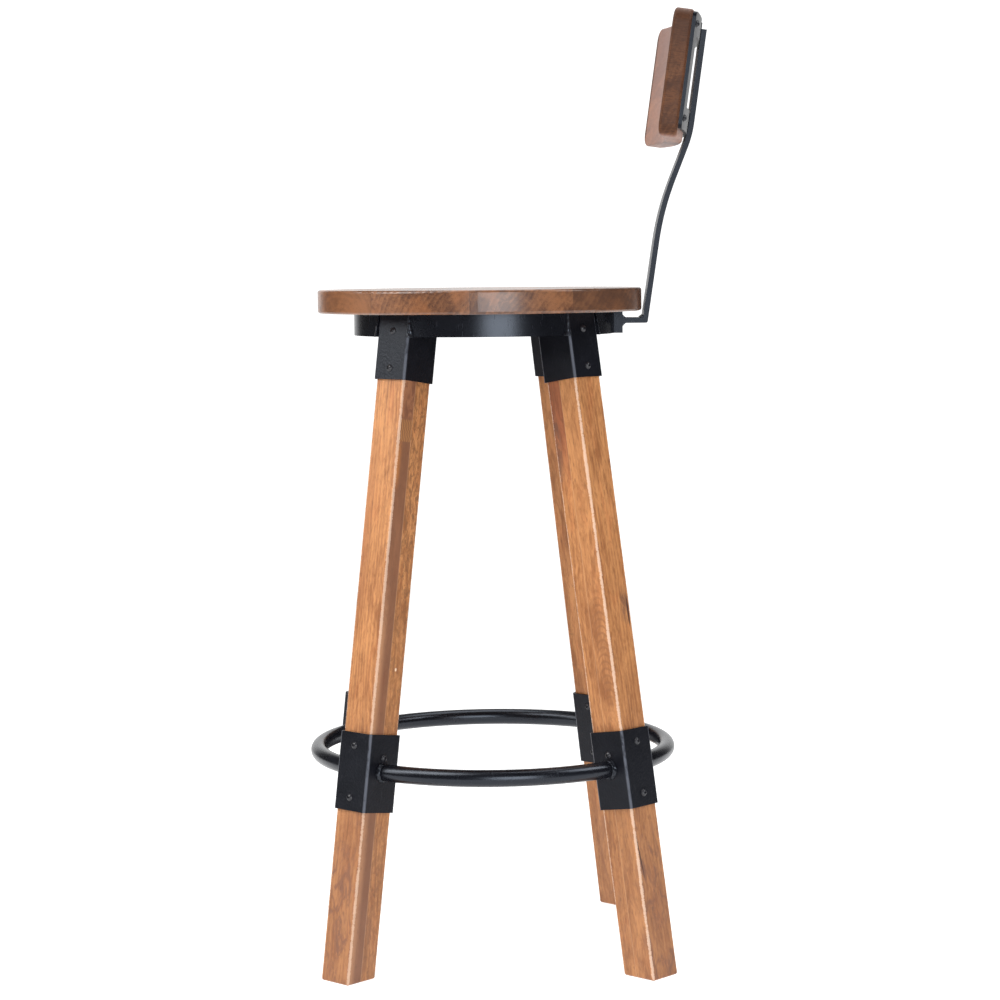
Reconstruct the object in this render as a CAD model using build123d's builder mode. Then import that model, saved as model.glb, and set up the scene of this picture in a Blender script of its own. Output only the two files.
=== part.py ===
from build123d import *
import os
from math import asin, atan2, cos, degrees, hypot, radians, sin, tan

# A fixed bar stool: round glued-up wooden seat on a steel hoop, four splayed wooden legs held in
# steel sockets, a round footrest ring between steel sleeves, and a curved wooden back board on a
# bent steel bar. Z is up, the floor is Z = 0 and the sitter faces -Y, so +X is the sitter's left.
# Lengths are in millimetres and angles in degrees.

# ---- seat -------------------------------------------------------------------------------------
seat_height = 762.0            # floor to the top of the seat
seat_diameter = 372.0
seat_thickness = 26.5
seat_edge_radius = 3.0
seat_set_forward = 5.5         # the seat's centre lies this far in front of the hoop's

# ---- hoop, cross bars and back plate under the seat --------------------------------------------
hoop_radius = 150.0            # outside
hoop_height = 25.4
hoop_strip = 4.0
hoop_weld = 5.5                # radius at the foot of the beads between hoop and sockets
hoop_weld_tip = 0.9            # radius at their upper end
hoop_weld_length = 21.6
cross_bar_width = 25.0
cross_bar_thickness = 4.0
cross_bar_spread = 30.0        # middle of each bar from the stool's centre line
cross_bar_screw_pitch = 48.0

# ---- legs -------------------------------------------------------------------------------------
leg_width = 42.7
leg_edge_radius = 2.5
leg_foot_chamfer = 1.5
leg_top_gap = 2.0              # between the top of a leg and the seat
top_radius = 122.5             # leg axis from the hoop's centre, at the seat's underside
front_splay = 8.6
rear_splay = 9.3
leg_turn = 2.5                 # the leg frame is turned this much, seen from above

# ---- sheet steel sockets and sleeves round the legs ---------------------------------------------
sheet = 2.5
sheet_corner_radius = 3.0
socket_drop = 50.5             # below the hoop, along the leg
sleeve_length = 86.5
sleeve_drop = 1.5              # middle of a sleeve below the footrest bar's, along the leg

# ---- footrest ---------------------------------------------------------------------------------
footrest_height = 230.0        # floor to the middle of the ring's bar
footrest_bar = 19.0
weld_width = 3.0               # along the footrest bar, outside the sleeve
weld_height = 2.7              # above the bar, in line with the sleeve's face
weld_lip = 0.45                # above the bar, at the bead's outer end

# ---- screws -----------------------------------------------------------------------------------
screw_head_radius = 4.1
screw_head_height = 2.6
screw_shank_radius = 2.0
screw_socket_radius = 1.5
screw_socket_depth = 1.3
screw_length = 16.0            # under the head
screw_dome = 0.72              # share of a head's radius and height where its arc turns
socket_screw_margin = 12.5     # from the lower end of a socket
socket_screw_pitch = 41.5
sleeve_screw_margin = 14.4     # from both ends of a sleeve
side_screw_offset = 16.0       # above the footrest bar's middle, along the leg

# ---- back board and its steel frame --------------------------------------------------------------
back_lean = 8.0
back_rise = 234.0              # seat top to the middle of the board
back_reach = 216.2             # hoop centre to the middle of the board's front face
board_length = 300.0           # straight across, from end to end
board_height = 140.0
board_thickness = 20.0
board_radius = 715.0           # concave front face
board_corner_radius = 15.0
board_edge_radius = 3.0
strap_width = 25.0
strap_thickness = 4.0
strap_inset = 8.0              # board end to frame end
frame_height = 128.0
frame_lift = 4.0               # middle of the frame above the middle of the board
frame_corner_radius = 6.0
strap_screw_inset = 12.5       # from both edges of a frame corner

# ---- bent bar that carries the back ---------------------------------------------------------------
bar_width = 45.0
bar_thickness = 6.0
bar_reach = 183.5              # hoop centre to the middle of the bar's thickness, at its foot
bar_lower_lean = 8.5
bar_middle_lean = 21.5
bar_lower_radius = 320.0
bar_upper_radius = 115.0
bar_bend_drop = 62.0           # upper bend below the middle of the board
bar_top_rise = 56.4            # top end above the middle of the board
foot_bar_lift = 11.2           # underside of the foot bar above the hoop's lower edge
back_plate_thickness = 8.0
bar_gap = 1.0                  # between the frame and the bar, bridged by the welds
bar_foot_radius = 2.5          # on the bent bar's lower rear edge
back_weld = 3.5
back_weld_inset = 1.0          # from both edges of the bar
bar_weld_length = 9.5          # down each strap from its upper edge

# ---- heights and places worked out from the values above -------------------------------------------
seat_bottom = seat_height - seat_thickness
hoop_bottom = seat_bottom - hoop_height
hoop_inside = hoop_radius - hoop_strip
case_width = leg_width + 2 * sheet
foot_bar_z = hoop_bottom + foot_bar_lift
board_z = seat_height + back_rise
corner_cos = cos(radians(45))


def axis_radius(splay, height):
    """Distance of a leg's axis from the middle of the stool at a height."""
    return top_radius + (seat_bottom - height) * tan(radians(splay))


# The footrest is one circle through all four leg axes. Front and rear legs splay differently, so
# its centre lies a little behind the hoop's.
front_half = axis_radius(front_splay, footrest_height) * corner_cos
rear_half = axis_radius(rear_splay, footrest_height) * corner_cos
footrest_radius = hypot(front_half, rear_half)
footrest_shift = rear_half - front_half

# The bent bar's centre line, as (Y from the hoop's centre, Z): its foot, two bends and its top.
bar_offset = board_thickness + strap_thickness + bar_gap + bar_thickness / 2
lean_sin, lean_cos = sin(radians(back_lean)), cos(radians(back_lean))
bar_mid_y = back_reach + bar_offset * lean_cos
bar_mid_z = board_z - bar_offset * lean_sin
bend_z = board_z - bar_bend_drop
bend_y = bar_mid_y + (bend_z - bar_mid_z) * tan(radians(back_lean))
top_z = board_z + bar_top_rise
top_y = bar_mid_y + (top_z - bar_mid_z) * tan(radians(back_lean))
lower_slope = tan(radians(bar_lower_lean))
middle_slope = tan(radians(bar_middle_lean))
knee_z = (bar_reach - bend_y + middle_slope * bend_z - lower_slope * foot_bar_z) / (
    middle_slope - lower_slope)
knee_y = bar_reach + (knee_z - foot_bar_z) * lower_slope

# The origin is on the floor, halfway between the foremost and rearmost points of the whole stool.
front_reach = footrest_radius + footrest_bar / 2 - footrest_shift
rear_reach = top_y + bar_thickness / 2 * lean_cos
centre_y = (front_reach - rear_reach) / 2

LEGS = {
    "front_left": (-45, front_splay),
    "rear_left": (45, rear_splay),
    "rear_right": (135, rear_splay),
    "front_right": (-135, front_splay),
}
SIDES = {
    "front": ("front_right", "front_left"),
    "left": ("front_left", "rear_left"),
    "rear": ("rear_left", "rear_right"),
    "right": ("rear_right", "front_right"),
}

os.makedirs("parts", exist_ok=True)


def save(piece, name):
    """Labels a finished piece and writes it as its own file."""
    piece.part.label = name
    export_step(piece.part, f"parts/{name}.step")


def hoop_plane(height):
    """Level plane over the hoop's centre, square to the seat and back."""
    return Plane(origin=(0, centre_y, height))


def turned_plane(height):
    """Level plane over the hoop's centre, turned with the leg frame."""
    turn = radians(leg_turn)
    return Plane(origin=(0, centre_y, height), x_dir=(cos(turn), sin(turn), 0))


def leg_plane(name, along=0):
    """Across a leg at a distance up its axis from the floor: X points outward and Z up the leg."""
    azimuth, splay = LEGS[name]
    out = Vector(cos(radians(azimuth + leg_turn)), sin(radians(azimuth + leg_turn)), 0)
    tilt = radians(splay)
    up_leg = Vector(0, 0, cos(tilt)) - out * sin(tilt)
    foot = Vector(0, centre_y, 0) + out * axis_radius(splay, 0)
    return Plane(origin=foot + up_leg * along, x_dir=out * cos(tilt) + Vector(0, 0, sin(tilt)),
                 z_dir=up_leg)


def along_leg(name, height):
    """Distance up a leg's axis from the floor to a height."""
    return height / cos(radians(LEGS[name][1]))


def face_plane(name, along, side):
    """On the outer face of a leg's steel case: side 0 is the outward face, then every 90 degrees."""
    leg = leg_plane(name, along)
    normal = leg.x_dir * cos(radians(side)) + leg.y_dir * sin(radians(side))
    return Plane(origin=leg.origin + normal * (case_width / 2), x_dir=leg.z_dir, z_dir=normal)


def socket_bottom(name):
    return along_leg(name, hoop_bottom) - socket_drop


def sleeve_middle(name):
    return along_leg(name, footrest_height) - sleeve_drop


def socket_screw_planes(name):
    low = socket_bottom(name) + socket_screw_margin
    return [face_plane(name, low + step * socket_screw_pitch, 0) for step in (0, 1)]


def sleeve_screw_planes(name):
    middle = sleeve_middle(name)
    reach = sleeve_length / 2 - sleeve_screw_margin
    side_height = along_leg(name, footrest_height) + side_screw_offset
    ends = [face_plane(name, middle + end * reach, side) for side in (0, 180) for end in (-1, 1)]
    sides = [face_plane(name, side_height, side) for side in (90, 270)]
    return ends + sides


# ---- one button-head screw, on the XY plane with its shank pointing down ----------------------------
with BuildPart() as screw:
    with BuildSketch(Plane.XZ) as screw_section:
        with BuildLine():
            Polyline((0, -screw_length), (screw_shank_radius, -screw_length),
                     (screw_shank_radius, 0), (screw_head_radius, 0))
            ThreePointArc((screw_head_radius, 0),
                          (screw_head_radius * screw_dome, screw_head_height * screw_dome),
                          (screw_socket_radius, screw_head_height))
            Polyline((screw_socket_radius, screw_head_height),
                     (screw_socket_radius, screw_head_height - screw_socket_depth),
                     (0, screw_head_height - screw_socket_depth), (0, -screw_length))
        make_face()
    revolve(axis=Axis.Z)

# ---- seat: round slab with eased edges, with pilot holes for its screws ---------------------------
seat_plane = Plane(origin=(0, centre_y - seat_set_forward, seat_bottom))
seat_screw_z = seat_bottom - cross_bar_thickness
seat_screw_spots = [(side * cross_bar_spread, step * cross_bar_screw_pitch)
                    for side in (-1, 1) for step in (-2, 0, 2)]
under_bar = Plane(origin=(0, centre_y, seat_screw_z), x_dir=(1, 0, 0), z_dir=(0, 0, -1))

with BuildPart() as seat:
    with BuildSketch(seat_plane):
        Circle(seat_diameter / 2)
    extrude(amount=seat_thickness)
    fillet(seat.edges().filter_by(GeomType.CIRCLE), seat_edge_radius)
    with Locations(under_bar):
        with Locations(*seat_screw_spots):
            Hole(screw_shank_radius, screw_length)
save(seat, "seat")

# ---- hoop: four curved strips between the leg sockets ------------------------------------------------
for side, (first, last) in SIDES.items():
    start = LEGS[first][0]
    with BuildPart() as hoop:
        with BuildSketch(turned_plane(hoop_bottom)):
            with BuildLine():
                outer = CenterArc((0, 0), hoop_radius, start, 90)
                inner = CenterArc((0, 0), hoop_inside, start, 90)
                Line(outer @ 0, inner @ 0)
                Line(outer @ 1, inner @ 1)
            make_face()
        extrude(amount=hoop_height)
        for leg in (first, last):
            with BuildSketch(leg_plane(leg, socket_bottom(leg))):
                Rectangle(2 * case_width, case_width)
            extrude(amount=along_leg(leg, seat_height), mode=Mode.SUBTRACT)
    save(hoop, f"seat_hoop_{side}")

# ---- cross bars: two flat strips inside the hoop that the seat is screwed to -----------------------
for name, side in (("left", 1), ("right", -1)):
    with BuildPart() as cross_bar:
        with BuildSketch(hoop_plane(seat_screw_z)):
            with Locations((side * cross_bar_spread, 0)):
                Rectangle(cross_bar_width, 2 * hoop_radius)
            Circle(hoop_inside, mode=Mode.INTERSECT)
        extrude(amount=cross_bar_thickness)
        with Locations(under_bar):
            with Locations(*[spot for spot in seat_screw_spots if spot[0] * side > 0]):
                Hole(screw_shank_radius, cross_bar_thickness)
    save(cross_bar, f"seat_cross_bar_{name}")

with BuildPart() as seat_screws:
    with Locations(under_bar):
        with Locations(*seat_screw_spots):
            add(screw.part)
save(seat_screws, "seat_screws")

# ---- legs, their sockets under the seat and their footrest sleeves ------------------------------------
for name in LEGS:
    case_screws = socket_screw_planes(name) + sleeve_screw_planes(name)

    with BuildPart() as leg:
        with BuildSketch(leg_plane(name, -leg_width)):
            RectangleRounded(leg_width, leg_width, leg_edge_radius)
        extrude(amount=along_leg(name, seat_height) + leg_width)
        split(bisect_by=Plane.XY, keep=Keep.TOP)
        split(bisect_by=Plane.XY.offset(seat_bottom - leg_top_gap), keep=Keep.BOTTOM)
        chamfer(leg.faces().sort_by(Axis.Z)[0].edges(), leg_foot_chamfer)
        with Locations(*case_screws):
            Hole(screw_shank_radius, screw_length)
    save(leg, f"leg_{name}")

    with BuildPart() as socket:
        with BuildSketch(leg_plane(name, socket_bottom(name))):
            RectangleRounded(case_width, case_width, sheet_corner_radius)
            Rectangle(leg_width, leg_width, mode=Mode.SUBTRACT)
        extrude(amount=along_leg(name, seat_height) - socket_bottom(name))
        split(bisect_by=Plane.XY.offset(seat_bottom), keep=Keep.BOTTOM)
        with Locations(*socket_screw_planes(name)):
            Hole(screw_shank_radius, 2 * sheet)
    save(socket, f"leg_socket_{name}")

    with BuildPart() as sleeve:
        with BuildSketch(leg_plane(name, sleeve_middle(name) - sleeve_length / 2)):
            RectangleRounded(case_width, case_width, sheet_corner_radius)
            Rectangle(leg_width, leg_width, mode=Mode.SUBTRACT)
        extrude(amount=sleeve_length)
        with Locations(*sleeve_screw_planes(name)):
            Hole(screw_shank_radius, 2 * sheet)
    save(sleeve, f"footrest_sleeve_{name}")

with BuildPart() as socket_screws:
    with Locations(*[place for name in LEGS for place in socket_screw_planes(name)]):
        add(screw.part)
save(socket_screws, "socket_screws")

with BuildPart() as sleeve_screws:
    with Locations(*[place for name in LEGS for place in sleeve_screw_planes(name)]):
        add(screw.part)
save(sleeve_screws, "sleeve_screws")

# ---- weld beads up both sides of each socket, against the outside of the hoop -----------------------
with BuildPart() as hoop_welds:
    with Locations(turned_plane(hoop_bottom)):
        for name in LEGS:
            for way in (-1, 1):
                angle = LEGS[name][0] + way * degrees(asin(case_width / 2 / hoop_radius))
                with PolarLocations(hoop_radius, 1, angle):
                    Cone(hoop_weld, hoop_weld_tip, hoop_weld_length,
                         align=(Align.CENTER, Align.CENTER, Align.MIN))
        Cylinder(hoop_radius, 2 * hoop_height, mode=Mode.SUBTRACT)
    for name in LEGS:
        with BuildSketch(leg_plane(name, socket_bottom(name))):
            with Locations((case_width / 2, 0)):
                Rectangle(2 * case_width, case_width)
        extrude(amount=along_leg(name, seat_height), mode=Mode.SUBTRACT)
save(hoop_welds, "hoop_welds")

# ---- footrest: four arcs of round bar, each welded to the sleeves at its ends --------------------------
LEG_ANGLES = {
    "front_left": degrees(atan2(-rear_half, front_half)),
    "rear_left": degrees(atan2(front_half, rear_half)),
}
LEG_ANGLES["rear_right"] = 180 - LEG_ANGLES["rear_left"]
LEG_ANGLES["front_right"] = -180 - LEG_ANGLES["front_left"]

for side, (first, last) in SIDES.items():
    span = (LEG_ANGLES[last] - LEG_ANGLES[first]) % 360
    with BuildPart() as footrest:
        with BuildLine(turned_plane(footrest_height)) as route:
            CenterArc((0, footrest_shift), footrest_radius, LEG_ANGLES[first], span)
        with BuildSketch(Plane(origin=route.line @ 0, z_dir=route.line % 0)):
            Circle(footrest_bar / 2)
        sweep(path=route.line)
        for leg in (first, last):
            with BuildSketch(leg_plane(leg, sleeve_middle(leg) - sleeve_length / 2)):
                Rectangle(case_width, case_width)
            extrude(amount=sleeve_length, mode=Mode.SUBTRACT)
    save(footrest, f"footrest_{side}")


def weld_planes(name):
    """Across the footrest bar where it leaves each side of a sleeve, looking away from it."""
    azimuth = LEGS[name][0]
    lag = sin(radians(LEG_ANGLES[name] - azimuth))
    half = case_width / 2 / footrest_radius
    places = []
    for way in (-1, 1):
        angle = radians(azimuth) + asin(lag + way * half)
        point = turned_plane(footrest_height).from_local_coords(
            (footrest_radius * cos(angle), footrest_shift + footrest_radius * sin(angle)))
        ahead = turned_plane(0).x_dir * -sin(angle) + turned_plane(0).y_dir * cos(angle)
        places.append(Plane(origin=point, z_dir=ahead * way))
    return places


# ---- weld beads where the footrest bars meet their sleeves -----------------------------------------
with BuildPart() as footrest_welds:
    for name in LEGS:
        for place in weld_planes(name):
            with Locations(place.offset(-weld_width)):
                Cone(footrest_bar / 2 + weld_height, footrest_bar / 2 + weld_lip, 2 * weld_width,
                     align=(Align.CENTER, Align.CENTER, Align.MIN))
    for name in LEGS:
        with BuildSketch(leg_plane(name, sleeve_middle(name) - sleeve_length / 2)):
            Rectangle(case_width, case_width)
        extrude(amount=sleeve_length, mode=Mode.SUBTRACT)
    with Locations(turned_plane(footrest_height)):
        with Locations((0, footrest_shift)):
            Torus(footrest_radius, footrest_bar / 2, mode=Mode.SUBTRACT)
save(footrest_welds, "footrest_welds")

# ---- bent bar: one flat bar standing on the end of the foot bar -------------------------------------
with BuildPart() as back_bar:
    with BuildLine(Plane.YZ.offset(-bar_width / 2)) as bar_line:
        start_z = foot_bar_z - bar_thickness
        start_y = centre_y + bar_reach - bar_thickness * lower_slope
        Polyline((start_y, start_z), (centre_y + knee_y, knee_z), (centre_y + bend_y, bend_z),
                 (centre_y + top_y, top_z))
        fillet(bar_line.vertices().sort_by(Axis.Z)[1], bar_lower_radius)
        fillet(bar_line.vertices().sort_by(Axis.Z)[-2], bar_upper_radius)
    with BuildSketch(Plane(origin=bar_line.line @ 0, x_dir=(1, 0, 0), z_dir=bar_line.line % 0)):
        with Locations((bar_width / 2, 0)):
            Rectangle(bar_width, bar_thickness)
    sweep(path=bar_line.line)
    split(bisect_by=Plane.XY.offset(foot_bar_z), keep=Keep.TOP)
    foot_edges = back_bar.faces().sort_by(Axis.Z)[0].edges().filter_by(Axis.X)
    fillet(foot_edges.sort_by(Axis.Y)[-1], bar_foot_radius)
save(back_bar, "back_bar")

# ---- foot bar: level bar from the back plate to the bent bar, cut to meet both -------------------------
bar_face_y = centre_y + bar_reach - bar_thickness / 2 / cos(radians(bar_lower_lean))
plate_y = centre_y + hoop_radius + back_plate_thickness
with BuildPart() as back_foot_bar:
    with BuildSketch(Plane.YZ):
        with BuildLine():
            Polyline((plate_y, foot_bar_z), (bar_face_y, foot_bar_z),
                     (bar_face_y + bar_thickness * lower_slope, foot_bar_z + bar_thickness),
                     (plate_y, foot_bar_z + bar_thickness), close=True)
        make_face()
    extrude(amount=bar_width / 2, both=True)
save(back_foot_bar, "back_foot_bar")

# ---- back plate: flat outside, hollowed inside to sit on the hoop -------------------------------------
with BuildPart() as back_plate:
    with BuildSketch(hoop_plane(hoop_bottom)):
        with Locations((0, hoop_radius)):
            Rectangle(bar_width, 2 * back_plate_thickness)
        Circle(hoop_radius, mode=Mode.SUBTRACT)
    extrude(amount=hoop_height)
save(back_plate, "back_plate")

# ---- weld beads along both ends of the foot bar -------------------------------------------------------
with BuildPart() as foot_bar_welds:
    with BuildSketch(Plane.YZ):
        bar_top = foot_bar_z + bar_thickness
        for near, way, slope in ((plate_y, 1, 0), (bar_face_y + bar_thickness * lower_slope, -1,
                                                   lower_slope)):
            with BuildLine():
                Polyline((near, bar_top), (near + way * back_weld, bar_top),
                         (near + back_weld * slope, bar_top + back_weld), close=True)
            make_face()
        with BuildLine():
            Polyline((plate_y, foot_bar_z), (plate_y + back_weld, foot_bar_z),
                     (plate_y, foot_bar_z - back_weld), close=True)
        make_face()
    extrude(amount=bar_width / 2 - back_weld_inset, both=True)
save(foot_bar_welds, "foot_bar_welds")


# ---- back board and its frame ---------------------------------------------------------------------
def board_plane(height=0):
    """Across the leaning back board: X is the sitter's left, Y rearward and Z up the board."""
    up_board = Vector(0, lean_sin, lean_cos)
    middle = Vector(0, centre_y + back_reach, board_z)
    return Plane(origin=middle + up_board * height, x_dir=(1, 0, 0), z_dir=up_board)


outline_plane = Plane(origin=board_plane().origin, x_dir=(1, 0, 0), z_dir=-board_plane().y_dir)
board_back = board_radius + board_thickness
strap_back = board_back + strap_thickness
frame_half = board_length / 2 - strap_inset
frame_low = frame_lift - frame_height / 2
frame_high = frame_lift + frame_height / 2
cut_depth = 4 * board_thickness        # clears the curve of the board and frame


def back_screw_planes():
    """On the back of the frame, at its four corners."""
    places = []
    angle = asin((frame_half - strap_screw_inset) / strap_back)
    for height in (frame_low + strap_screw_inset, frame_high - strap_screw_inset):
        for way in (-1, 1):
            plane = board_plane(height)
            outward = plane.x_dir * sin(way * angle) + plane.y_dir * cos(angle)
            middle = plane.origin - plane.y_dir * board_radius
            places.append(Plane(origin=middle + outward * strap_back, x_dir=plane.z_dir,
                                z_dir=outward))
    return places


with BuildPart() as back_board:
    with BuildSketch(board_plane()):
        with Locations((0, -board_radius)):
            Circle(board_back)
            Circle(board_radius, mode=Mode.SUBTRACT)
        with Locations((0, -board_thickness)):
            Rectangle(board_length + board_thickness, cut_depth, mode=Mode.INTERSECT)
    extrude(amount=board_height, both=True)
    with BuildSketch(outline_plane):
        RectangleRounded(board_length, board_height, board_corner_radius)
    extrude(amount=cut_depth, both=True, mode=Mode.INTERSECT)
    faces = back_board.faces().filter_by(GeomType.CYLINDER).sort_by(SortBy.AREA)[-2:]
    fillet(faces[0].edges() + faces[1].edges(), board_edge_radius)
    with Locations(*back_screw_planes()):
        Hole(screw_shank_radius, screw_length)
save(back_board, "back_board")

# The frame is four lengths of flat bar bent to the board: two level straps with the uprights
# standing between them.
FRAME = {
    "top": (0, frame_high - strap_width / 2, 2 * frame_half, strap_width),
    "bottom": (0, frame_low + strap_width / 2, 2 * frame_half, strap_width),
    "left": (frame_half - strap_width / 2, frame_lift, strap_width,
             frame_height - 2 * strap_width),
    "right": (-frame_half + strap_width / 2, frame_lift, strap_width,
              frame_height - 2 * strap_width),
}
for name, (across, height, wide, tall) in FRAME.items():
    with BuildPart() as strap:
        with BuildSketch(board_plane()):
            with Locations((0, -board_radius)):
                Circle(strap_back)
                Circle(board_back, mode=Mode.SUBTRACT)
            Rectangle(board_length, cut_depth, mode=Mode.INTERSECT)
        extrude(amount=board_height, both=True)
        with BuildSketch(outline_plane):
            with Locations((0, frame_lift)):
                RectangleRounded(2 * frame_half, frame_height, frame_corner_radius)
            with Locations((across, height)):
                Rectangle(wide, tall, mode=Mode.INTERSECT)
        extrude(amount=cut_depth, both=True, mode=Mode.INTERSECT)
        if name in ("top", "bottom"):
            with Locations(*back_screw_planes()):
                Hole(screw_shank_radius, 2 * strap_thickness)
    save(strap, f"back_frame_{name}")

with BuildPart() as back_screws:
    with Locations(*back_screw_planes()):
        add(screw.part)
save(back_screws, "back_screws")

# ---- welds that fill the gap between the bent bar and both level straps ------------------------------
weld_foot = board_thickness + strap_thickness - bar_gap
weld_top = board_thickness + strap_thickness + bar_gap
with BuildPart() as back_frame_welds:
    for low in (frame_low + strap_width - bar_weld_length, frame_high - bar_weld_length):
        with BuildSketch(board_plane(low)):
            with BuildLine():
                Polyline((-bar_width / 2 - back_weld, weld_foot),
                         (bar_width / 2 + back_weld, weld_foot), (bar_width / 2, weld_top),
                         (-bar_width / 2, weld_top), close=True)
            make_face()
            with Locations((0, -board_radius)):
                Circle(strap_back, mode=Mode.SUBTRACT)
        extrude(amount=bar_weld_length)
save(back_frame_welds, "back_frame_welds")
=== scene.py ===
import math
import bmesh
import bpy
from mathutils import Matrix, Vector, noise


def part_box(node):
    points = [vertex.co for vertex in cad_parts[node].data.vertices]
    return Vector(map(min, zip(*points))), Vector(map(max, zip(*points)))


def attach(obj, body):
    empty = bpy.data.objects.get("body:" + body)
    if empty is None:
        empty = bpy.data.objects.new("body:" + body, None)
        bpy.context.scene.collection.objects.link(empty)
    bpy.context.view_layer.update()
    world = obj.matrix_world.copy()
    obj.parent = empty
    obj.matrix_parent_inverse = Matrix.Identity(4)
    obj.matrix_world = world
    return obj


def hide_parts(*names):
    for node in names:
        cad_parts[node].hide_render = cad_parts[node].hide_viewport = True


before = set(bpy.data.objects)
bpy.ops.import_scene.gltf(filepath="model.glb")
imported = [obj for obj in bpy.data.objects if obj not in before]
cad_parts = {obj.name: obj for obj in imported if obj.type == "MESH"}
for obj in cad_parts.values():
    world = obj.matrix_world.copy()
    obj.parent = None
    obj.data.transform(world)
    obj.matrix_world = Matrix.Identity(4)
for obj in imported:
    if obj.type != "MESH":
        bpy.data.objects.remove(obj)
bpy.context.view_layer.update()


# ---- how a finish is written -----------------------------------------------------------------------
# A Finish is one material. Its patterns are written as sums on Wires, the outputs of its nodes, and
# every node other than plain arithmetic comes from Finish.add.
class Wire:
    def __init__(self, finish, socket):
        self.finish = finish
        self.socket = socket

    def math(self, operation, *others):
        return self.finish.add("ShaderNodeMath", {"operation": operation}, [self, *others])

    def __add__(self, other):
        return self.math("ADD", other)

    def __sub__(self, other):
        return self.math("SUBTRACT", other)

    def __mul__(self, other):
        return self.math("MULTIPLY", other)

    def __truediv__(self, other):
        return self.math("DIVIDE", other)

    def __rsub__(self, other):
        return self.finish.add("ShaderNodeMath", {"operation": "SUBTRACT"}, [other, self])

    def __pow__(self, other):
        return self.math("POWER", other)

    def __abs__(self):
        return self.math("ABSOLUTE")

    __radd__ = __add__
    __rmul__ = __mul__

    def rise(self, low, high, bottom=0.0, top=1.0):
        """Climbs smoothly from bottom to top as the value goes from low to high."""
        return self.finish.add("ShaderNodeMapRange", {"interpolation_type": "SMOOTHSTEP"},
                               [self, low, high, bottom, top])


class Finish:
    def __init__(self, name, roughness=0.5, specular=0.5, coat=0.0, coat_roughness=0.1):
        self.material = bpy.data.materials.new(name)
        self.material.use_nodes = True
        self.nodes = self.material.node_tree.nodes
        self.links = self.material.node_tree.links
        self.shader = self.nodes["Principled BSDF"]
        self.shader.inputs["Roughness"].default_value = roughness
        self.shader.inputs["Specular IOR Level"].default_value = specular
        self.shader.inputs["Coat Weight"].default_value = coat
        self.shader.inputs["Coat Roughness"].default_value = coat_roughness

    def join(self, value, socket):
        if isinstance(value, Wire):
            self.links.new(value.socket, socket)
        else:
            socket.default_value = value

    def add(self, kind, settings=None, inputs=(), output=0):
        """Adds a node: its settings first, then its sockets, by place in a list or by name."""
        node = self.nodes.new(kind)
        for key, value in (settings or {}).items():
            setattr(node, key, value)
        named = inputs.items() if isinstance(inputs, dict) else enumerate(inputs)
        for key, value in named:
            self.join(value, node.inputs[key])
        return Wire(self, node.outputs[output])

    def place(self, origin=(0, 0, 0), turn=(0, 0, 0)):
        """A point's X, Y and Z in metres, measured from origin on axes turned by an Euler turn."""
        where = self.add("ShaderNodeTexCoord", output="Object")
        local = self.add("ShaderNodeMapping", {"vector_type": "TEXTURE"},
                         {"Vector": where, "Location": origin, "Rotation": turn})
        return [self.add("ShaderNodeSeparateXYZ", {}, [local], axis) for axis in range(3)]

    def vector(self, x, y, z):
        return self.add("ShaderNodeCombineXYZ", {}, [x, y, z])

    def noise(self, x, y, z, detail=2.0, roughness=0.5, distortion=0.0):
        return self.add("ShaderNodeTexNoise", {},
                        {"Vector": self.vector(x, y, z), "Scale": 1.0, "Detail": detail,
                         "Roughness": roughness, "Distortion": distortion})

    def mix(self, factor, first, second, blend="MIX"):
        """Mixes two colours, each a Wire or red, green and blue."""
        first, second = [c if isinstance(c, Wire) else (*c, 1.0) for c in (first, second)]
        return self.add("ShaderNodeMix", {"data_type": "RGBA", "blend_type": blend},
                        {0: factor, 6: first, 7: second}, 2)

    def surface(self, color, roughness=None, height=None, strength=0.3, distance=0.0005):
        self.join(color, self.shader.inputs["Base Color"])
        if roughness is not None:
            self.join(roughness, self.shader.inputs["Roughness"])
        if height is not None:
            bump = self.add("ShaderNodeBump", {},
                            {"Strength": strength, "Distance": distance, "Height": height})
            self.join(bump, self.shader.inputs["Normal"])
        return self.material


def dress(piece, material):
    """Gives a piece its one material."""
    piece.data.materials.clear()
    piece.data.materials.append(material)


# ---- legs ------------------------------------------------------------------------------------------
# Four square legs, each glued up from strips of golden brown hardwood, planed, eased along the edges,
# lacquered satin and cut level at the floor. The edges are painted pale, part rubbed wear and part
# painted highlight, and the feet are stained.
def grain(f, x, y, z, seed, heart=(0.05, 0.03), ring=0.0055, lean=0.03, wander=0.035):
    """Growth rings round a heart that drifts along Z, with fibres, figure and pores along Z."""
    drift = f.noise(x * 16 + seed, y * 16, z * 4 + seed, 3.0, 0.55)
    across = f.vector(x - z * lean - heart[0], y + z * lean * 0.6 - heart[1], 0.0)
    radius = f.add("ShaderNodeVectorMath", {"operation": "LENGTH"}, [across], 1)
    count = ((radius + drift * wander) / ring).math("FRACT")
    rings = count.rise(0.0, 0.75) * (1 - count.rise(0.80, 1.0))
    fibre = f.noise(x * 330 + seed, y * 330, z * 30, 5.0, 0.7, 0.5)
    figure = f.noise(x * 85, y * 85 + seed, z * 24, 6.0, 0.70, 1.8)
    pores = f.noise(x * 700, y * 700 + seed, z * 130, 1.0).rise(0.60, 0.72)
    return rings, fibre, figure, pores


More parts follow.
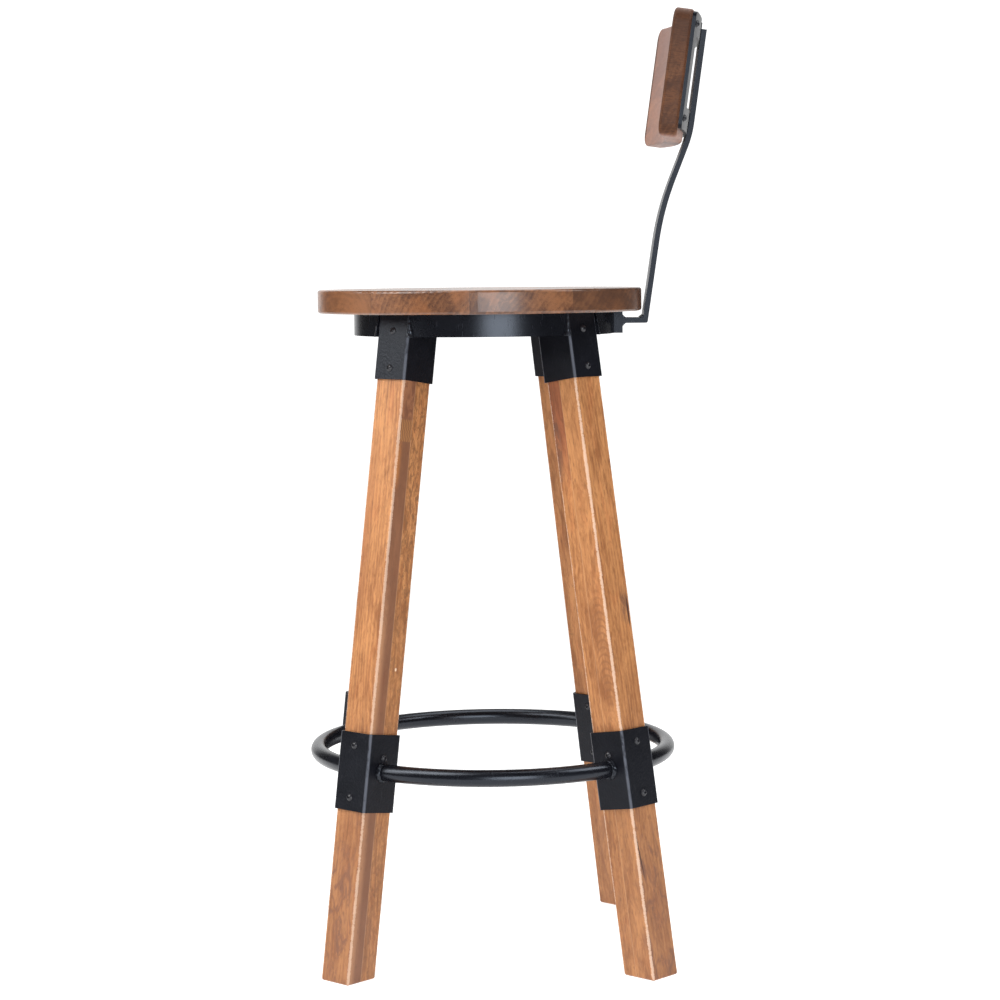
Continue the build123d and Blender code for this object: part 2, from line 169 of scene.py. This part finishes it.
def leg_axes(name):
    """A leg's foot and its directions outward, across and up, read off its solid."""
    points = [v.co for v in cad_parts[name].data.vertices]
    top_z = max(p.z for p in points)
    ends = []
    for low, high in ((-0.001, 0.0005), (top_z - 0.0005, top_z + 0.001)):
        end = [p for p in points if low < p.z < high]
        ends.append(Vector([(min(p[i] for p in end) + max(p[i] for p in end)) / 2
                            for i in range(3)]))
    up = (ends[1] - ends[0]).normalized()
    across = Vector((up.y, -up.x, 0)).normalized()
    return ends[0], across.cross(up).normalized(), across, up


def euler_of(x_axis, y_axis, z_axis):
    """The Euler turn of a piece whose own axes point along the three given."""
    return Matrix((x_axis, y_axis, z_axis)).transposed().to_euler()


def spot(u, v, center, reach):
    """One in an oval on a face, fading to nothing at its rim."""
    far = ((u - center[0]) / reach[0]) ** 2.0 + ((v - center[1]) / reach[1]) ** 2.0
    return 1 - far.rise(0.25, 1.0)


HONEY = ((0.58, 0.275, 0.105), (0.34, 0.130, 0.040))
GOLD = ((0.54, 0.240, 0.088), (0.26, 0.095, 0.031))
UMBER = ((0.235, 0.098, 0.047), (0.185, 0.076, 0.037))
RUSSET = ((0.36, 0.118, 0.048), (0.21, 0.066, 0.028))
LEGS = {
    "leg_front_left": {"seam": 0.0018, "inner": GOLD, "outer": UMBER, "face": GOLD,
                       "seed": 3.1, "edge_wear_and_highlight": 0.45},
    "leg_rear_left": {"seam": -0.0030, "inner": RUSSET, "outer": GOLD, "face": GOLD,
                      "seed": 11.7, "edge_wear_and_highlight": 0.62},
    "leg_rear_right": {"seam": 0.0040, "inner": GOLD, "outer": HONEY, "face": HONEY,
                       "seed": 23.9, "edge_wear_and_highlight": 0.5},
    "leg_front_right": {"seam": -0.0020, "inner": HONEY, "outer": GOLD, "face": GOLD,
                        "seed": 37.3, "edge_wear_and_highlight": 0.5},
}
outward_face = 0.0208
edge_line, edge_line_end = 0.0402, 0.0409
for name, make in LEGS.items():
    foot, outward, across, up = leg_axes(name)
    turn = euler_of(outward, across, up)
    f = Finish(name.replace("leg", "leg wood"), coat=0.1, coat_roughness=0.3, specular=0.35)
    x, y, z = f.place(foot, turn)
    seed = make["seed"]
    outer = x.math("GREATER_THAN", make["seam"])
    face = x.math("GREATER_THAN", outward_face)
    rings, fibre, figure, pores = grain(f, x + outer * 0.031, y + outer * 1.7, z + outer * 3.1, seed)
    pale, dark = make["inner"]
    if make["inner"] is RUSSET:
        high_up = (z + figure * 0.05).rise(0.56, 0.64)
        pale = f.mix(high_up, GOLD[0], RUSSET[0])
        dark = f.mix(high_up, GOLD[1], RUSSET[1])
    pale = f.mix(face, f.mix(outer, pale, make["outer"][0]), make["face"][0])
    dark = f.mix(face, f.mix(outer, dark, make["outer"][1]), make["face"][1])
    broad = f.noise(x * 34 + seed, y * 34, z * 8, 3.0, 0.6, 0.8)
    speck = f.noise(x * 420, y * 420 + seed, z * 160, 3.0, 0.6)
    tone = rings * 0.26 + (fibre - 0.5) * 0.55 + (figure - 0.5) * 1.9 + (broad - 0.5) * 1.7 + 0.24
    tone = tone + (speck - 0.5) * 0.55
    color = f.mix(tone.rise(-0.15, 1.0), pale, dark)
    ruddy = f.noise(x * 50, y * 50 + seed, z * 13 + seed, 4.0, 0.6, 1.0).rise(0.52, 0.68)
    color = f.mix(ruddy * 0.35, color, f.mix(1.0, color, (1.0, 0.80, 0.74), "MULTIPLY"))
    if name == "leg_front_left":
        crumbs = f.noise(x * 190, y * 190, z * 85, 5.0, 0.72, 1.2).rise(0.44, 0.60)
        upper = z.rise(0.30, 0.50, 0.5, 0.85)
        color = f.mix(crumbs * (1 - outer) * upper, color, (0.19, 0.082, 0.033))
        left_side = 1 - (y + (figure - 0.5) * 0.03).rise(-0.019, -0.004)
        half_way_up = 1 - abs(z - 0.49).rise(0.05, 0.13)
        color = f.mix(left_side * face * half_way_up * 0.55, color, (0.33, 0.125, 0.050))
    if make["outer"] is UMBER:
        planed = x.rise(0.0090, 0.0205) * (1 - face) * (1 - (z + figure * 0.1).rise(0.42, 0.52))
        amber = x.rise(0.0120, 0.0200) * (1 - face) * (1 - abs(z - 0.575).rise(0.010, 0.035))
        color = f.mix(amber * 0.8, color, (0.45, 0.17, 0.045))
        color = f.mix(planed * 0.8, color, (0.50, 0.25, 0.125))
    blotch = f.noise(x * 60 + seed, y * 60, z * 26, 5.0, 0.68, 1.4)
    low_down = (1 - (z + figure * 0.14).rise(0.16, 0.44)) * (face * 0.45 + 0.55)
    color = f.mix((blotch.rise(0.45, 0.66) * 0.6 + 0.40) * low_down, color, (0.205, 0.088, 0.050))
    streak = f.noise(x * 260 + seed * 2, y * 260, z * 5, 2.0, 0.5).rise(0.63, 0.73)
    color = f.mix(streak * 0.4, color, (0.16, 0.068, 0.030))
    color = f.mix(pores * 0.35, color, (0.10, 0.045, 0.022))
    if name == "leg_front_left":
        patch = outer * (1 - face) * z.rise(0.599, 0.601) * (1 - z.rise(0.623, 0.626))
        ripple = (x * 2300 + f.noise(x * 60, y * 60, z * 240, 2.0) * 7).math("SINE")
        ticks = f.mix(ripple.rise(-0.6, 0.9), (0.42, 0.19, 0.065), (0.19, 0.074, 0.030))
        color = f.mix(patch * 0.75, color, ticks)
        top_strip = outer * (1 - face) * (z + figure * 0.02).rise(0.632, 0.640)
        veined = f.mix(figure.rise(0.4, 0.6), (0.36, 0.150, 0.070), (0.19, 0.072, 0.036))
        color = f.mix(top_strip * 0.75, color, veined)
        fleck = spot(y, z, (0.0207, 0.347), (0.0150, 0.0022))
        fleck = fleck * spot(x, z, (-0.0080, 0.347), (0.0016, 0.0030))
        color = f.mix(fleck, color, (0.80, 0.62, 0.45))
    if name == "leg_rear_left":
        arch = (z * 800 + (x - 0.011) ** 2.0 * 60000 + figure * 4).math("SINE")
        dome = spot(x, z, (0.011, 0.365), (0.012, 0.085)) * (1 - face)
        color = f.mix(arch.rise(0.0, 0.9) * dome * 0.65, color, (0.25, 0.098, 0.038))
        grey = spot(x, z, (-0.0175, 0.595), (0.0075, 0.045)) * (1 - face) * figure.rise(0.30, 0.55)
        color = f.mix(grey * 0.6, color, (0.115, 0.062, 0.042))
        check = spot(y, z, (0.0165, 0.405), (0.0022, 0.022)) * face
        smudge = spot(y, z, (0.0125, 0.412), (0.0090, 0.024)) * face * figure.rise(0.35, 0.6)
        color = f.mix(smudge * 0.6, color, (0.13, 0.062, 0.040))
        color = f.mix(check * 0.9, color, (0.055, 0.020, 0.016))
        split = spot(y + z * 0.12, z, (-0.0010, 0.135), (0.0013, 0.030)) * face
        color = f.mix(split * 0.85, color, (0.05, 0.022, 0.016))
    seam = 1 - abs(x - make["seam"]).rise(0.0002, 0.0006)
    color = f.mix(seam * (1 - face) * 0.3, color, (0.58, 0.36, 0.21))
    ragged = f.noise(x * 210, y * 210, z * 380 + seed, 4.0, 0.8)
    bare = f.noise(x * 30, y * 30, z * 24 + seed, 3.0, 0.6)
    edge = abs(x) + abs(y) + (ragged - 0.5) * 0.0042 + (bare - 0.5) * 0.0020
    # painted highlight and wear: the eased edges are mixed pale, partly rubbed wear and partly the
    # highlight along the rounded edge
    pale_edge_wear_and_highlight = edge.rise(edge_line, edge_line_end)
    color = f.mix(pale_edge_wear_and_highlight * make["edge_wear_and_highlight"], color, (0.78, 0.56, 0.42))
    leg_wood = f.surface(color, fibre * 0.22 + 0.36 + pale_edge_wear_and_highlight * 0.15,
                         fibre * 0.5 + rings * 0.2 - pores * 0.8, 0.22, 0.0004)
    dress(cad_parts[name], leg_wood)

# ---- steelwork -------------------------------------------------------------------------------------
# Sockets, sleeves, hoop, footrest, back bar and frame are mild steel with a blue-black satin powder
# coat, slightly pebbled, with faint handling marks. The round footrest and the hoop are glossier
# than the flat bars.
def powder_coat(name, seed, specular, rough):
    """The blue-black coat: its finish, colour, roughness and height, left open for edge wear and
    painted edge highlight.
    """
    f = Finish(name, specular=specular)
    f.shader.inputs["Specular Tint"].default_value = (0.78, 0.86, 1.0, 1.0)
    x, y, z = f.place()
    pebble = f.noise(x * 420 + seed, y * 420, z * 420, 3.0, 0.6)
    cloud = f.noise(x * 18 + seed, y * 18, z * 18, 4.0, 0.6)
    rubs = f.noise(x * 300 + seed, y * 300, z * 60, 3.0, 0.7).rise(0.60, 0.74)
    color = f.mix(cloud.rise(0.3, 0.7), (0.0020, 0.0021, 0.0036), (0.0042, 0.0044, 0.0070))
    color = f.mix(rubs * 0.12, color, (0.06, 0.062, 0.075))
    return f, color, cloud * 0.14 + rough + rubs * 0.1, pebble + cloud * 0.6


f, color, rough, height = powder_coat("powder coated ring and hoop", 1.0, 0.48, 0.20)
ring_coat = f.surface(color, rough, height, 0.1, 0.0003)
f, color, rough, height = powder_coat("powder coated flat bar", 2.0, 0.22, 0.28)
flat_coat = f.surface(color, rough, height, 0.3, 0.0003)
for name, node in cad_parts.items():
    if name.startswith(("footrest_front", "footrest_left", "footrest_rear", "footrest_right",
                        "seat_hoop")):
        dress(node, ring_coat)
    if name.startswith(("seat_cross", "back_bar", "back_foot", "back_plate", "back_frame")):
        dress(node, flat_coat)

# ---- sockets and sleeves ---------------------------------------------------------------------------
# Each is folded from sheet round its leg, so its coat is measured on the leg's own axes. The coat is
# the most pebbled here, and is painted pale grey in patches along the four folds, part worn coat and
# part painted highlight on the folded corners.
for name in LEGS:
    foot, outward, across, up = leg_axes(name)
    turn = euler_of(outward, across, up)
    for kind in ("leg_socket", "footrest_sleeve"):
        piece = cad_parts[name.replace("leg", kind, 1)]
        title = name.replace("leg", kind.replace("_", " "), 1)
        f, color, rough, height = powder_coat(title, LEGS[name]["seed"], 0.27, 0.27)
        x, y, z = f.place(foot, turn)
        half = max(abs((v.co - foot).dot(across)) for v in piece.data.vertices)
        fold_mark_from, fold_mark_to = half - 0.0032, half - 0.0014
        fold_wear_and_highlight = abs(x).rise(fold_mark_from, fold_mark_to) * abs(y).rise(fold_mark_from, fold_mark_to)
        patchy = f.noise(x * 120, y * 120, z * 45, 4.0, 0.65)
        fold_wear_and_highlight = fold_wear_and_highlight * patchy.rise(0.25, 0.5)
        # painted highlight and wear: pale grey along the folds, partly the highlight on the folded
        # corners and partly worn coat
        color = f.mix(fold_wear_and_highlight * 0.8, color, (0.105, 0.112, 0.135))
        dress(piece, f.surface(color, rough + fold_wear_and_highlight * 0.08, height, 0.65, 0.0005))

# ---- weld beads ------------------------------------------------------------------------------------
# Hand-laid beads where the hoop meets the sockets, the ring its sleeves and the bars each other. Each
# bead is cut up fine and pushed in and out along its skin into small lumps.
def new_piece(name, mesh):
    """A new object at the origin, made from a bmesh, which is then freed."""
    piece = bpy.data.objects.new(name, bpy.data.meshes.new(name))
    mesh.to_mesh(piece.data)
    mesh.free()
    bpy.context.scene.collection.objects.link(piece)
    return piece


f, color, rough, height = powder_coat("powder coated weld", 3.0, 0.6, 0.22)
weld_coat = f.surface(color, rough, height, 0.5, 0.0004)
longest_edge = 0.0012
broad_lump, fine_lump = 0.00065, 0.0003
for title, name in (("hoop_weld_beads", "hoop_welds"), ("ring_weld_beads", "footrest_welds"),
                    ("foot_bar_weld_beads", "foot_bar_welds"),
                    ("back_frame_weld_beads", "back_frame_welds")):
    beads = bmesh.new()
    beads.from_mesh(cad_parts[name].data)
    bmesh.ops.remove_doubles(beads, verts=beads.verts, dist=1e-6)
    for cut in range(6):
        coarse = [e for e in beads.edges if e.calc_length() > longest_edge]
        bmesh.ops.subdivide_edges(beads, edges=coarse, cuts=1)
        bmesh.ops.triangulate(beads, faces=beads.faces)
    beads.normal_update()
    low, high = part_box(name)
    moved = [v.co + v.normal * (broad_lump * noise.noise(v.co * 380)
                                + fine_lump * noise.noise(v.co * 900)) for v in beads.verts]
    for v, place in zip(beads.verts, moved):
        v.co = [min(max(place[i], low[i]), high[i]) for i in range(3)]
    for face in beads.faces:
        face.smooth = True
    piece = new_piece(title, beads)
    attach(piece, "root")
    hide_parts(name)
    dress(piece, weld_coat)

# ---- screws ----------------------------------------------------------------------------------------
# Button-head screws, black coated, in the sockets, sleeves, cross bars and back frame.
f = Finish("black screw", roughness=0.35)
x, y, z = f.place()
scuff = f.noise(x * 700, y * 700, z * 700, 3.0, 0.6)
black_screw = f.surface(f.mix(scuff.rise(0.45, 0.7), (0.010, 0.010, 0.014), (0.03, 0.031, 0.038)),
                        scuff * 0.3 + 0.2, scuff, 0.15, 0.0002)
for name in ("socket_screws", "sleeve_screws", "seat_screws", "back_screws"):
    dress(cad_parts[name], black_screw)

# ---- seat ------------------------------------------------------------------------------------------
# A round slab glued up from four dark walnut-brown boards that run from side to side, turned to a disc,
# eased at both edges and lacquered satin. The ends of the boards show as soft arcs on the rim.
def walnut(f, across, through, along, seed, heart):
    """Dark mottled wood: soft growth rings round a heart, with figure, fibres and pores along."""
    rings, fibre, figure, pores = grain(f, across, through, along, seed, heart, 0.0056, 0.012, 0.020)
    cloud = f.noise(across * 26 + seed, through * 26, along * 9, 4.0, 0.6, 0.8)
    tone = rings * 0.23 + (fibre - 0.5) * 0.5 + (figure - 0.5) * 1.5 + (cloud - 0.5) * 2.4 + 0.36
    color = f.mix(tone.rise(-0.1, 0.95), (0.235, 0.098, 0.042), (0.078, 0.031, 0.016))
    ruddy = f.noise(across * 40, through * 40 + seed, along * 12, 3.0).rise(0.52, 0.68)
    color = f.mix(ruddy * 0.5, color, (0.26, 0.098, 0.036))
    return f.mix(pores * 0.4, color, (0.028, 0.013, 0.008)), fibre, pores


def middle(name):
    """The middle of a node's box."""
    low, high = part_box(name)
    return [(a + b) / 2 for a, b in zip(low, high)]


seat_middle = middle("seat")
f = Finish("seat wood", coat=0.42, coat_roughness=0.2, specular=0.4)
along, across, through = f.place(seat_middle)
board_seams = (-0.118, -0.009, 0.104)
step = sum((across.math("GREATER_THAN", seam) for seam in board_seams), across * 0)
hearts = step * 0.113 - 0.155
color, fibre, pores = walnut(f, across - hearts, through + step * 0.002, along + step * 5.7, 5.0,
                             (0.0, -0.015))
first = 1 - across.math("GREATER_THAN", board_seams[0])
last = across.math("GREATER_THAN", board_seams[2])
color = f.mix(first * 0.4, color, (0.20, 0.076, 0.026))
color = f.mix(last * 0.5, color, (0.085, 0.037, 0.019))
seams = sum((1 - abs(across - seam).rise(0.0001, 0.0006) for seam in board_seams), across * 0)
color = f.mix(seams * 0.5, color, (0.05, 0.024, 0.014))
seat_wood = f.surface(color, fibre * 0.2 + 0.27, fibre * 0.4 - pores * 0.6 - seams, 0.2, 0.0003)
dress(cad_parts["seat"], seat_wood)

# ---- back board ------------------------------------------------------------------------------------
# One curved board of the same wood, grain from side to side, rounded at the corners. Along its length
# it carries a painted pinkish reflection of the white backdrop, and its ends are dark with fine level
# lines.
board_lean = math.radians(-8.0)
f = Finish("back board wood", specular=0.12)
along, across, through = f.place(middle("back_board"), (board_lean, 0, 0))
color, fibre, pores = walnut(f, through, across, along, 9.0, (0.10, -0.33))
high_up = (through + fibre * 0.03).rise(0.000, 0.065)
color = f.mix(high_up * 0.7, color, (0.055, 0.025, 0.016))
at_end = abs(along).rise(0.138, 0.1465)
# painted reflection: a pale pinkish sheen over all but the ends, standing in for the white backdrop
# reflected at a grazing angle
color = f.mix((1 - at_end) * 0.36, color, (0.50, 0.31, 0.27))
color = f.mix(at_end * 0.55, color, (0.075, 0.032, 0.018))
end_lines = f.noise(across * 120, through * 900, along * 60, 3.0, 0.6).rise(0.45, 0.65)
color = f.mix(end_lines * at_end * 0.6, color, (0.045, 0.020, 0.013))
back_wood = f.surface(color, fibre * 0.2 + 0.34, fibre * 0.4 - pores * 0.6, 0.2, 0.0003)
dress(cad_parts["back_board"], back_wood)

# ---- floor, light and camera -----------------------------------------------------------------------
# A round pale floor lit from below and a white backdrop behind the stool, with the rest of the studio
# dim, so that the steel stays dark between the soft boxes at the left, above and beside the camera.
floor_mesh = bmesh.new()
bmesh.ops.create_circle(floor_mesh, cap_ends=True, segments=96, radius=3.4)
floor = new_piece("studio_floor", floor_mesh)
f = Finish("floor paper", roughness=0.9, specular=0.1)
x, y, z = f.place()
paper = f.mix(f.noise(x * 3, y * 3, z * 3), (0.55, 0.55, 0.55), (0.58, 0.58, 0.58))
f.shader.inputs["Emission Color"].default_value = (1.0, 1.0, 1.0, 1.0)
f.shader.inputs["Emission Strength"].default_value = 0.85
floor.data.materials.append(f.surface(paper))

world = bpy.data.worlds.new("studio surround")
world.use_nodes = True
sky = world.node_tree
toward = sky.nodes.new("ShaderNodeSeparateXYZ")
sky.links.new(sky.nodes.new("ShaderNodeTexCoord").outputs["Generated"], toward.inputs[0])
fall = sky.nodes.new("ShaderNodeMapRange")
fall.interpolation_type = "SMOOTHSTEP"
sky.links.new(toward.outputs[0], fall.inputs["Value"])
for key, value in (("From Min", -0.96), ("From Max", -0.78), ("To Min", 1.25), ("To Max", 0.07)):
    fall.inputs[key].default_value = value
seen = sky.nodes.new("ShaderNodeMath")
seen.operation = "MAXIMUM"
sky.links.new(sky.nodes.new("ShaderNodeLightPath").outputs["Is Camera Ray"], seen.inputs[0])
sky.links.new(fall.outputs[0], seen.inputs[1])
sky.nodes["Background"].inputs["Color"].default_value = (1.0, 1.0, 1.0, 1.0)
sky.links.new(seen.outputs[0], sky.nodes["Background"].inputs["Strength"])
bpy.context.scene.world = world
bpy.context.scene.view_settings.view_transform = "Standard"

LAMPS = {
    "left soft box": ((0.5, -2.2, 1.68), (0, 0, 0.9), 1.4, 34.0, (1.0, 0.99, 0.97)),
    "high soft box": ((1.0, -1.5, 2.9), (0, 0, 0.5), 1.6, 58.0, (1.0, 0.99, 0.97)),
    "front soft box": ((3.2, 0.70, 0.95), (0, 0, 0.7), 1.6, 54.0, (0.94, 0.97, 1.0)),
    "right soft box": ((0.6, 2.2, 2.5), (0, 0, 0.7), 1.2, 32.0, (0.97, 0.98, 1.0)),
    "overhead soft box": ((-0.6, 0.3, 3.2), (0, 0, 0.7), 2.0, 36.0, (0.96, 0.98, 1.0)),
}
for name, (place, aim, size, power, tint) in LAMPS.items():
    lamp = bpy.data.lights.new(name, "AREA")
    lamp.size = size
    lamp.energy = power
    lamp.color = tint
    holder = bpy.data.objects.new(name, lamp)
    holder.location = place
    holder.rotation_euler = (Vector(aim) - Vector(place)).to_track_quat("-Z", "Y").to_euler()
    bpy.context.scene.collection.objects.link(holder)

seat_axis_y = seat_middle[1] + 0.0055
camera_reach = 3.1013
camera_height = 0.7905
camera_side = math.radians(0.4276)
camera_place = Vector((camera_reach * math.cos(camera_side),
                       camera_reach * math.sin(camera_side) + seat_axis_y, camera_height))
looking = camera_side + math.pi - math.radians(0.2901)
dip = math.radians(-5.029)
tip = math.radians(-0.5716)
ahead = Vector((math.cos(looking) * math.cos(dip), math.sin(looking) * math.cos(dip), math.sin(dip)))
level = ahead.cross(Vector((0, 0, 1))).normalized()
right = level * math.cos(tip) + level.cross(ahead) * math.sin(tip)
above = right.cross(ahead)
camera = bpy.data.objects.new("camera", bpy.data.cameras.new("camera"))
camera.data.lens = 96.77
camera.data.sensor_width = 36.0
camera.data.clip_end = 200.0
turned = Matrix((right, above, -ahead)).transposed().to_4x4()
camera.matrix_world = Matrix.Translation(camera_place) @ turned
bpy.context.scene.collection.objects.link(camera)
bpy.context.scene.camera = camera
